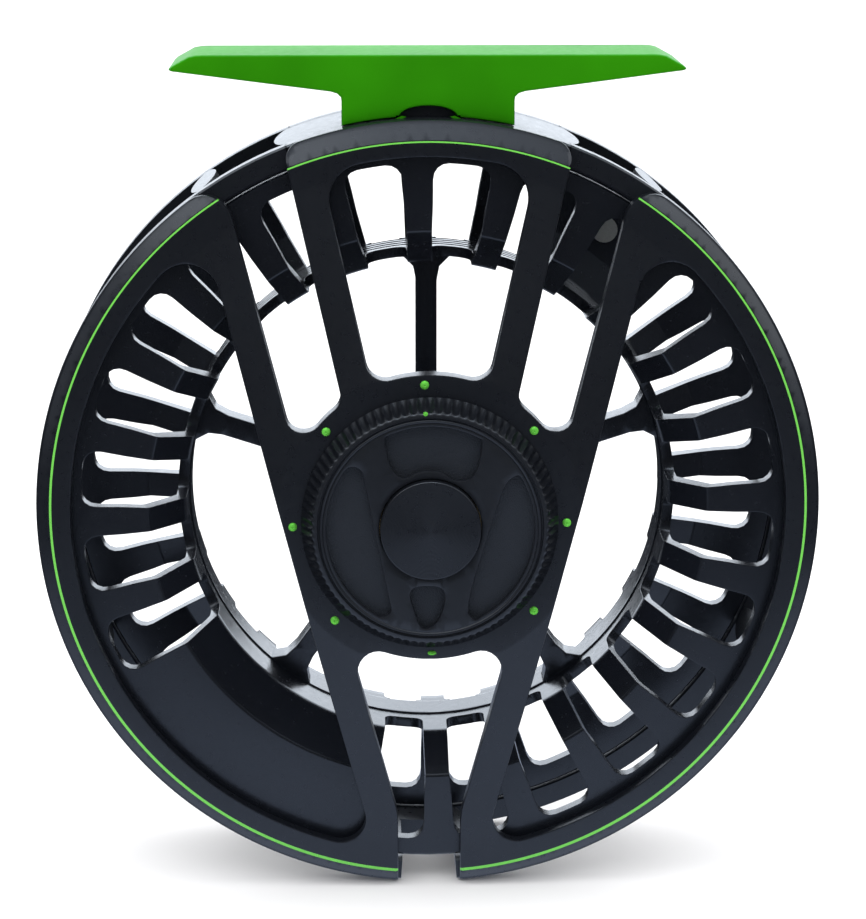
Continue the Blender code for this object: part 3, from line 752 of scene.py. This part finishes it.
FAR_FLANGE = (
    ((30.9, 20.5), (32.2, 20.5), 2),
    ((30.9, 20.65), (32.2, 20.56), 2),
    ((30.9, 20.95), (32.2, 20.62), 2),
    ((30.9, 21.4), (32.2, 20.68), 2),
    ((30.9, 21.8), (32.25, 20.74), 2),
    ((31.0, 22.9), (32.3, 20.8), 2),
    ((31.4, 23.2), (32.7, 21.0), 2),
    ((36.2, 24.55), (36.6, 22.6), 2),
    ((36.7, 24.6), (37.1, 22.6), 2),
    ((38.8, 24.6), (38.8, 22.6), 2),
    ((41.9, 24.6), (41.9, 22.6), 2),
    ((42.75, 24.6), (42.75, 22.6), 2),
    ((43.4, 24.6), (43.4, 22.6), 2),
    ((43.84, 24.6), (43.84, 22.6), 2),
    ((44.0, 24.6), (44.0, 22.6), 0),
    ((46.3, 24.6), (46.3, 22.6), 0),
    ((46.5, 24.4), (46.5, 22.8), 0),
)
ARBOUR_R = 32.2
GROOVE_DEPTH = 0.25
GROOVE_MIDDLES = (14.4, 16.0, 17.6, 19.2)
BORE_Y = (14.65, 15.2, 15.6, 16.0, 16.4, 16.8, 17.2, 17.6, 18.0, 18.3, 18.6, 19.0, 19.4, 19.6, 19.8, 20.0)
BALANCE = (14, 15, 16)
HANDLE_SLOT = 3


def grooved_arbour():
    """The stations of the arbour's four shallow grooves."""
    line_side = []
    for middle in GROOVE_MIDDLES:
        for away, depth in ((-0.4, 0), (-0.2, GROOVE_DEPTH), (0.2, GROOVE_DEPTH), (0.4, 0)):
            line_side.append((ARBOUR_R - depth, middle + away))
    bore_r = [30.7] * 14 + [30.75, 30.9]
    return tuple(((r, y), station, 0) for r, y, station in zip(bore_r, BORE_Y, line_side))


SPOOL_PATH = NEAR_FLANGE + grooved_arbour() + FAR_FLANGE


def bar_half(radius, y):
    """Half the width of a bar between two slots: it widens to both ends of the slots."""
    width = along(((30.9, 1.55), (35.4, 1.55), (39.8, 1.85), (41.9, 1.9)), radius)
    if radius > 41.9:
        width += 2.1 * (1 - math.sqrt(max(0.0, 1 - ((radius - 41.9) / 2.1) ** 2)))
    fillet, depth = (1.3, 12.8 - y) if y < 15 else (0.75, y - 20.5)
    if radius < 31.2 and 0 <= depth < fillet:
        width += fillet * (1 - math.sqrt(max(0.0, 1 - (1 - depth / fillet) ** 2)))
    return width


def make_spool():
    pitch = 360 / SLOTS
    parts = (-1, -0.93, -0.4, 0.4, 0.93)
    gaps = 7  # cells across a slot
    front, back = [], []
    for (near_r, near_y), (far_r, far_y), _ in SPOOL_PATH:
        half = math.degrees(bar_half(near_r, near_y) / near_r)
        face, rear = [], []
        for bar in range(SLOTS):
            middle = FIRST_BAR + pitch * bar
            angles = [middle + half * part for part in parts]
            angles += [middle + half + (pitch - 2 * half) * k / gaps for k in range(gaps)]
            for angle in angles:
                x, z = circle_point(near_r, angle)
                face.append((x, near_y, z))
                x, z = circle_point(far_r, angle)
                rear.append((x, far_y, z))
        front.append(face)
        back.append(rear)
    solid = []
    for j in range(len(SPOOL_PATH) - 1):
        kinds = {SPOOL_PATH[j][2], SPOOL_PATH[j + 1][2]}
        near = 1 in kinds
        far = 2 in kinds
        row = []
        for bar in range(SLOTS):
            row += [True] * len(parts)
            whole = not (near or far) or (near and bar in BALANCE) or (far and bar == HANDLE_SLOT)
            row += [whole] * gaps
        solid.append(row)
    bm = bmesh.new()
    cells(bm, solid, front, back)
    return piece("spool_channel", bm, spool_black, "spool", ["spool"], round_edge=0.22)


# One side of a spoke, as (distance from its middle line, distance from the axle).
SPOKE_SIDE = ((1.95, 10.6), (1.35, 13.4), (1.35, 27.4), (1.7, 29.2), (2.9, 30.4), (4.2, 31.2))


def make_web():
    """The spool's boss and five spokes."""
    outline = []
    sides = [(-across, out) for across, out in SPOKE_SIDE] + list(SPOKE_SIDE[::-1])
    for spoke in range(5):
        direction = 90 + 72 * spoke
        cos, sin = circle_point(1, direction)
        outline += [(out * cos + across * sin, out * sin - across * cos) for across, out in sides]
        for radius, turned in ((10.15, 20), (10.0, 36), (10.15, 52)):
            outline.append(circle_point(radius, direction + turned))
    bm = bmesh.new()
    bore = arc((0, 0), 6.8, 0, 360, 40)[:-1]
    plate(bm, outline, [bore], lambda x, z: 14.6, lambda x, z: 18.6, edge=0.2, spacing=3)
    piece("spool_web", bm, spool_black, "spool", ["spool"])
    boss = [(6.7, 10.6), (10.5, 10.6), (10.5, 21.5), (8.9, 21.5), (8.9, 20.35), (6.7, 20.35)]
    lathed("spool_boss", boss, spool_black, "spool", 0.3)


# --- the knob --------------------------------------------------------------------------------------

FLUTES = 90
FLUTE_STEPS = 6
KNOB_BACK_Y = -4.5


def make_knob():
    """The knob's fluted body, as (radius, y, depth of flute) stations round its section."""
    low, face = KNOB_BACK_Y, KNOB_FACE_Y
    section = (
        (13.3, -6.0, 0), (13.6, -4.75, 0), (14.2, low, 0), (15.9, low, 0),
        (16.0, low - 0.15, 0.02), (15.95, low - 0.4, 0.22), (15.6, low - 1.0, 0.3), (15.2, low - 1.9, 0.3),
        (14.85, low - 2.7, 0.28), (14.62, face + 0.12, 0.12), (14.3, face, 0), (14.02, face, 0),
        (13.92, face + 0.3, 0), (13.78, face + 0.34, 0), (13.66, face + 0.06, 0), (13.55, face + 0.02, 0),
        (13.3, face + 0.16, 0), (13.1, face + 1.1, 0), (12.9, face + 1.1, 0), (6.4, face + 1.1, 0),
        (6.4, face + 1.5, 0), (12.0, face + 1.5, 0),
    )
    segments = FLUTES * FLUTE_STEPS
    bm = bmesh.new()
    rings = []
    for radius, y, depth in section:
        ring = []
        for step in range(segments):
            wave = (0.5 - 0.5 * math.cos(2 * math.pi * step / FLUTE_STEPS)) ** 0.7
            x, z = circle_point(radius - depth * wave, 360 * step / segments)
            ring.append(bm.verts.new((x, y, z)))
        rings.append(ring)
    for first, second in zip(rings, rings[1:] + rings[:1]):
        for step in range(segments):
            after = (step + 1) % segments
            bm.faces.new((first[step], first[after], second[after], second[step]))
    # The fluted flank, past 14.5 mm, takes the painted-shade copy of the knob's black.
    for side in bm.faces:
        radius = math.hypot(*side.calc_center_median().xz)
        side.material_index = 1 if radius < 13.2 else 2 if radius > 14.5 else 0
    body = piece("knob_body", bm, knob_black, "knob", ["drag_knob"], sharp=50)
    body.data.materials.append(knob_blasted)
    body.data.materials.append(knob_flank_shade)


def softened(loop, rounds=2):
    """A closed loop with its corners cut off again and again."""
    for _ in range(rounds):
        cut = []
        for first, second in zip(loop, loop[1:] + loop[:1]):
            for share in (0.25, 0.75):
                cut.append(tuple(a + (b - a) * share for a, b in zip(first, second)))
        loop = cut
    return loop


def pocket_outlines():
    """The knob face's four milled pockets. The top one's lower edge goes round the cap."""
    left = mirrored(side_window((6.9, 0.2), POCKET_R, 1.3, 1.1))
    right = [(10.6, 6.8), (9.2, 5.8), (8.1, 2.6), (4.2, -10.2), (5.5, -11.9)]
    right += arc((0, 0), POCKET_R, -61, 31, 40)
    top = [(-5.5, 9.9), (-4.9, 7.7), (-4.0, 6.6), (-2.9, 6.3)] + arc((0, 0), 7.3, 105, 78, 4)
    top += [(2.6, 6.2), (3.8, 5.9), (5.1, 6.3), (6.0, 8.1)] + arc((0, 0), POCKET_R, 60, 116, 24)
    bottom = [(-2.7, -8.2), (-1.9, -7.3), (1.1, -7.3), (1.9, -8.2), (1.6, -10.3), (0.8, -12.1), (-0.4, -12.9),
              (-1.3, -12.6), (-2.1, -10.4)]
    return [left] + [softened(loop) for loop in (right, top, bottom)]


def make_knob_face():
    cap_hole = arc((0, 0), 6.34, 0, 360, 96)[:-1]
    low = KNOB_FACE_Y + 0.12
    bm = bmesh.new()
    plate(bm, arc((0, 0), 13.3, 0, 360, 160)[:-1], pocket_outlines() + [cap_hole],
          lambda x, z: low, lambda x, z: low + 1.15, edge=0.12, spacing=1.5)
    piece("knob_face", bm, knob_black, "knob", ["drag_knob"], sharp=40)
    cap = [(0, -9.2), (0.9, -9.15), (6.1, -8.72), (6.22, -8.62), (6.22, -6.85), (0, -6.85)]
    lathed("knob_cone", cap, knob_spun, "knob", 0.05, 96, replaces=["knob_cap"])


# The hub's index dots as (radius, angle). The knob hides the top of the low one.
DOTS = ((17.45, 92.1), (17.35, 42), (17.05, 359.6), (17.35, 318.6), (16.75, 270.8), (17.3, 226.5),
        (17.05, 181.6), (17.3, 137.8))
LOW_DOT = 4


def dome(bm, x, y, z, radius, height):
    """A round dot that stands height above y, with a small dimple in its middle."""
    profile = [(0, y + 0.3), (radius, y + 0.3), (radius, y)]
    for k in range(1, 6):
        swing = math.radians(90 * k / 6)
        profile.append((radius * math.cos(swing), y - height * math.sin(swing)))
    profile.append((0, y - height * 0.6))
    lathe(bm, profile, 24, x, z)


def make_dots():
    bm = bmesh.new()
    for number, (radius, angle) in enumerate(DOTS):
        x, z = circle_point(radius, angle)
        before = len(bm.verts)
        dome(bm, x, HUB_FACE_Y, z, 0.55, 0.42)
        if number == LOW_DOT:
            for vert in list(bm.verts)[before:]:
                vert.co.z = z - 0.12 + (vert.co.z - z) * 0.55
    piece("hub_dots", bm, dot_green, "body", slot="anodised_green", sharp=60)
    bm = bmesh.new()
    x, z = circle_point(14.42, 92.4)
    dome(bm, x, KNOB_FACE_Y + 0.16, z, 0.32, 0.2)
    piece("knob_dot", bm, dot_green, "knob", slot="anodised_green", sharp=60)


# --- the foot --------------------------------------------------------------------------------------

def make_foot():
    """The foot, its stem and the arched recess in the stem's near face, lofted from its outline."""
    rest = 49.55
    stem_half = 10.7
    arch_half = 3.6
    edge = math.degrees(math.acos(stem_half / rest))
    half = [(27.9, 57.1), (28.6, 57.06), (29.4, 56.9), (31.5, 55.75), (31.9, 55.4), (31.75, 55.2), (31.4, 55.1)]
    half += [(20.0, 53.62), (12.0, 52.6), (11.2, 52.35), (10.75, 51.9), (stem_half, 51.4)]
    half += arc((0, 0), rest, edge, 86, 10)
    arch = []
    for angle in range(0, 90, 9):
        across, up = circle_point(1, angle)
        arch.append((arch_half * across, rest - 0.15 + 1.45 * up))
    crown = [(0.0, rest + 1.3)]
    bm = bmesh.new()
    plate(bm, half + arch + crown + mirrored(half + arch), [], lambda x, z: 4.0, lambda x, z: 19.0,
          edge=0.4, spacing=6)
    piece("foot_body", bm, foot_green, "body", ["reel_foot"], slot="anodised_green", sharp=35)
    bm = bmesh.new()
    plug = arch + crown + mirrored(arch) + [(-arch_half, rest - 0.3), (arch_half, rest - 0.3)]
    plate(bm, inset(plug[::-1], -0.05)[::-1], [], lambda x, z: 5.4, lambda x, z: 18.4, edge=0.1, spacing=6)
    piece("foot_key", bm, frame_black, "body")


# --- the rest --------------------------------------------------------------------------------------

def make_turned_pieces():
    """The canister, the spool cap and the handle, each from its (radius, y) section."""
    canister = [(15.1, -0.9), (16.4, -0.9), (16.4, 9.6), (7.2, 9.6), (7.2, 8.3), (15.1, 8.3)]
    lathed("canister_shell", canister, cap_black, "body", 0.5, replaces=["drag_canister"])
    cap = [(0, 20.5), (4.2, 20.5), (4.2, 20.6), (8.4, 20.6), (8.4, 23.6), (7.5, 24.3), (6.2, 24.3), (5.9, 24.0)]
    cap += [(2.6, 24.2), (0, 24.6)]
    lathed("spool_cap_face", cap, cap_black, "cap", 0.25, replaces=["spool_cap"])
    at = (HANDLE_AT.x, 0, HANDLE_AT.z)
    grip = [(2.5, 26.4), (5.3, 26.4), (5.85, 26.8), (5.9, 27.5), (5.55, 28.8), (5.2, 30.6), (5.0, 33.0)]
    grip += [(5.05, 35.4), (5.35, 37.8), (5.85, 39.8), (6.2, 41.0), (6.2, 41.7), (5.8, 42.4), (5.1, 42.6)]
    grip += [(4.6, 42.5), (2.5, 42.5)]
    lathed("handle_knob", grip, grip_black, "handle", 0.35, 96, replaces=["handle_grip"], at=at)
    post = [(1.6, 24.7), (3.4, 24.7), (3.4, 25.9), (2.2, 26.1), (2.2, 42.7), (1.6, 42.7)]
    lathed("handle_stud", post, steel, "spool", 0.15, 48, replaces=["handle_post"], at=at, slot="steel")
    end = [(0, 37.5), (1.3, 37.5), (1.3, 42.9), (3.4, 42.9), (3.4, 43.6), (2.9, 44.0), (1.4, 44.0), (1.2, 43.5)]
    end += [(0, 43.5)]
    lathed("handle_bolt", end, steel, "spool", 0.15, 48, replaces=["handle_end_screw"], at=at, slot="steel")


def finish_cad_nodes():
    """A material for each CAD node that no piece replaces."""
    looks = {"handle_screw": screw_steel, "canister_seal": rubber, "knob_nut": brass, "thrust_washer": brass}
    for name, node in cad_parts.items():
        if node.hide_render:
            continue
        look = looks.get(name, carbon if name.startswith("carbon") else steel)
        node.data.materials.clear()
        node.data.materials.append(look)


# --- stage, lights and camera ----------------------------------------------------------------------

def make_stage():
    """The pale floor just under the reel. Glossy surfaces see a soft bluish glow on it, near the reel."""
    bpy.ops.mesh.primitive_plane_add(size=6.0, location=(AXLE.x, AXLE.y, AXLE.z - 49.62 * MM))
    floor = bpy.context.object
    floor.name = "floor"
    n = Nodes("floor_white")
    n.shader.inputs["Base Color"].default_value = (0.86, 0.86, 0.87, 1)
    n.shader.inputs["Roughness"].default_value = 0.9
    n.shader.inputs["Specular IOR Level"].default_value = 0.1
    place = n.add("ShaderNodeTexCoord")
    length = n.add("ShaderNodeVectorMath", operation="LENGTH")
    n.plug(place.outputs["Object"], length.inputs[0])
    fade = n.add("ShaderNodeMapRange", interpolation_type="SMOOTHSTEP")
    n.plug(length.outputs["Value"], fade.inputs["Value"])
    fade.inputs["From Min"].default_value = 0.04
    fade.inputs["From Max"].default_value = 0.21
    fade.inputs["To Min"].default_value = 1.0
    fade.inputs["To Max"].default_value = 0.05
    glow = n.add("ShaderNodeEmission")
    glow.inputs["Color"].default_value = (0.48, 0.55, 0.70, 1)
    n.plug(fade.outputs[0], glow.inputs["Strength"])
    path = n.add("ShaderNodeLightPath")
    swap = n.add("ShaderNodeMixShader")
    n.plug(path.outputs["Is Glossy Ray"], swap.inputs[0])
    n.plug(n.shader.outputs[0], swap.inputs[1])
    n.plug(glow.outputs[0], swap.inputs[2])
    n.plug(swap.outputs[0], n.tree.nodes["Material Output"].inputs["Surface"])
    floor.data.materials.append(n.material)


def make_world():
    """A white room that is brighter overhead and behind the reel, and dark in front of it."""
    world = bpy.data.worlds.new("studio")
    bpy.context.scene.world = world
    world.use_nodes = True
    tree = world.node_tree
    tree.nodes.clear()

    def add(kind, **settings):
        node = tree.nodes.new(kind)
        for key, value in settings.items():
            setattr(node, key, value)
        return node

    def ramp(source, low, high, start, end):
        node = add("ShaderNodeMapRange", interpolation_type="SMOOTHSTEP")
        tree.links.new(source, node.inputs["Value"])
        for name, value in zip(("From Min", "From Max", "To Min", "To Max"), (low, high, start, end)):
            node.inputs[name].default_value = value
        return node.outputs[0]

    place = add("ShaderNodeTexCoord")
    split = add("ShaderNodeSeparateXYZ")
    tree.links.new(place.outputs["Generated"], split.inputs[0])
    behind = ramp(split.outputs["Y"], -0.1, 0.75, 0.05, 2.6)
    overhead = ramp(split.outputs["Z"], 0.35, 0.95, 0.0, 0.95)
    lamp = ramp(split.outputs["Z"], 0.9, 0.99, 0.0, 4.0)
    above = add("ShaderNodeMath", operation="MAXIMUM")
    tree.links.new(overhead, above.inputs[0])
    tree.links.new(lamp, above.inputs[1])
    both = add("ShaderNodeMath", operation="MAXIMUM")
    tree.links.new(behind, both.inputs[0])
    tree.links.new(above.outputs[0], both.inputs[1])
    shine = add("ShaderNodeBackground")
    tree.links.new(both.outputs[0], shine.inputs["Strength"])
    shine.inputs["Color"].default_value = (0.86, 0.92, 1.0, 1)
    even = add("ShaderNodeBackground")
    sky = ramp(split.outputs["Z"], -0.3, 1.0, 0.45, 2.6)
    white = add("ShaderNodeMix", data_type="FLOAT")
    white.inputs["B"].default_value = 1.3
    path = add("ShaderNodeLightPath")
    tree.links.new(path.outputs["Is Camera Ray"], white.inputs["Factor"])
    tree.links.new(sky, white.inputs["A"])
    tree.links.new(white.outputs["Result"], even.inputs["Strength"])
    swap = add("ShaderNodeMixShader")
    tree.links.new(path.outputs["Is Glossy Ray"], swap.inputs[0])
    tree.links.new(even.outputs[0], swap.inputs[1])
    tree.links.new(shine.outputs[0], swap.inputs[2])
    out = add("ShaderNodeOutputWorld")
    tree.links.new(swap.outputs[0], out.inputs["Surface"])


def make_camera():
    data = bpy.data.cameras.new("camera")
    data.sensor_fit = "HORIZONTAL"
    data.sensor_width = 36
    data.lens = 122.3
    data.clip_start = 0.01
    data.clip_end = 20
    camera = bpy.data.objects.new("camera", data)
    bpy.context.scene.collection.objects.link(camera)
    camera.location = AXLE + Vector((-8.75, -359.1, 88.8)) * MM
    target = AXLE + Vector((0.49, 0, 7.08)) * MM
    camera.rotation_euler = (target - camera.location).to_track_quat("-Z", "Y").to_euler()
    bpy.context.scene.camera = camera


def make_lights():
    for name, at, size, power in (("key", (-300, -120, 460), 0.5, 0.6), ("fill", (420, 60, 300), 0.5, 0.5)):
        data = bpy.data.lights.new(name, "AREA")
        data.shape = "DISK"
        data.size = size
        data.energy = power
        light = bpy.data.objects.new(name, data)
        bpy.context.scene.collection.objects.link(light)
        light.location = AXLE + Vector(at) * MM
        light.rotation_euler = (AXLE - light.location).to_track_quat("-Z", "Y").to_euler()


make_plate()
make_cage()
make_spool()
make_web()
make_knob()
make_knob_face()
make_dots()
make_foot()
make_turned_pieces()
finish_cad_nodes()
make_stage()
make_world()
make_camera()
make_lights()
bpy.context.scene.view_settings.view_transform = "Standard"
